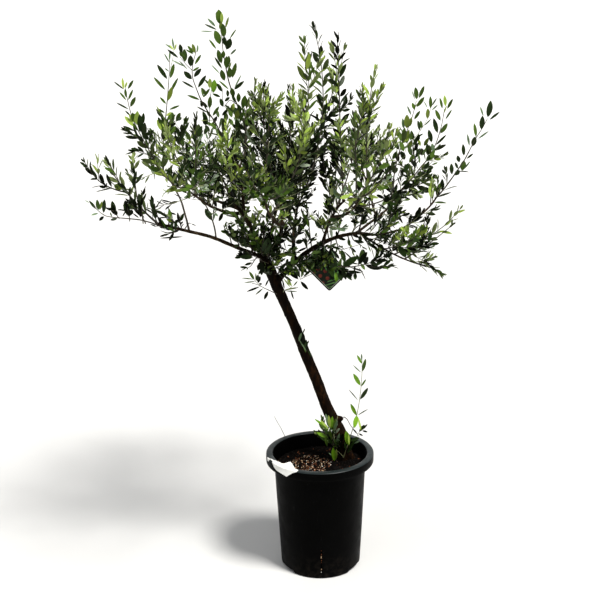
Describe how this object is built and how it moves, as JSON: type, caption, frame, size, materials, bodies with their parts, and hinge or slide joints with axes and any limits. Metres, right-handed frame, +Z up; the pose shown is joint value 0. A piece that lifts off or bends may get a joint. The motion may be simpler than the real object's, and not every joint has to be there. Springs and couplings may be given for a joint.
{
  "type": "potted olive tree",
  "caption": "Young olive tree with a leaning trunk and an open crown of upright leafy shoots, growing in a round black nursery pot.",
  "frame": {"origin": "middle of the pot's flat underside, on the surface it stands on", "axes": "+Z up; the trunk leans towards -X as it rises; the side with the rim tag and the hanging card faces -Y"},
  "size_m": [0.9522, 0.8666, 1.3657],
  "materials": {
    "pot_plastic": "satin",
    "soil": "matte",
    "bark": "matte",
    "leaves": "satin",
    "card": "satin",
    "tag_paper": "matte"
  },
  "bodies": {
    "root": {"pot": "pot_plastic", "soil": "soil", "trunk": "bark", "bough_left_low": "bark", "bough_left_high": "bark", "bough_left_arch": "bark", "bough_up_left": "bark", "bough_up_mid": "bark", "bough_right": "bark", "bough_right_low": "bark", "bough_right_out": "bark", "bough_right_in": "bark", "bough_up_right": "bark", "bough_mid_right": "bark", "bough_front_left": "bark", "bough_front": "bark", "bough_front_right": "bark", "bough_back_left": "bark", "bough_back": "bark", "bough_back_right": "bark", "sucker_tall_stem": "bark", "sucker_short_stem": "bark", "mass_left_tip": "leaves", "mass_left_upper": "leaves", "mass_spire_a": "leaves", "mass_left_arch": "leaves", "mass_spire_b": "leaves", "mass_spire_c": "leaves", "mass_spire_d": "leaves", "mass_top_left": "leaves", "mass_top_middle": "leaves", "mass_spire_g": "leaves", "mass_spire_h": "leaves", "mass_spire_i": "leaves", "mass_right_up": "leaves", "mass_spire_j": "leaves", "mass_spire_k": "leaves", "mass_right_inner": "leaves", "mass_right_long": "leaves", "mass_right_front": "leaves", "mass_right_tip": "leaves", "mass_low_twig": "leaves", "mass_shoot_left": "leaves", "mass_shoot_right": "leaves", "mass_front_left_top": "leaves", "mass_front_left": "leaves", "mass_front_top": "leaves", "mass_front": "leaves", "mass_front_right_top": "leaves", "mass_front_right": "leaves", "mass_back_left_top": "leaves", "mass_back_left": "leaves", "mass_back_top": "leaves", "mass_back": "leaves", "mass_back_right_top": "leaves", "mass_back_right": "leaves", "mass_sucker_tall": "leaves", "mass_sucker_short": "leaves", "rim_tag": "tag_paper", "picture_card": "card"}
  },
  "joints": []
}
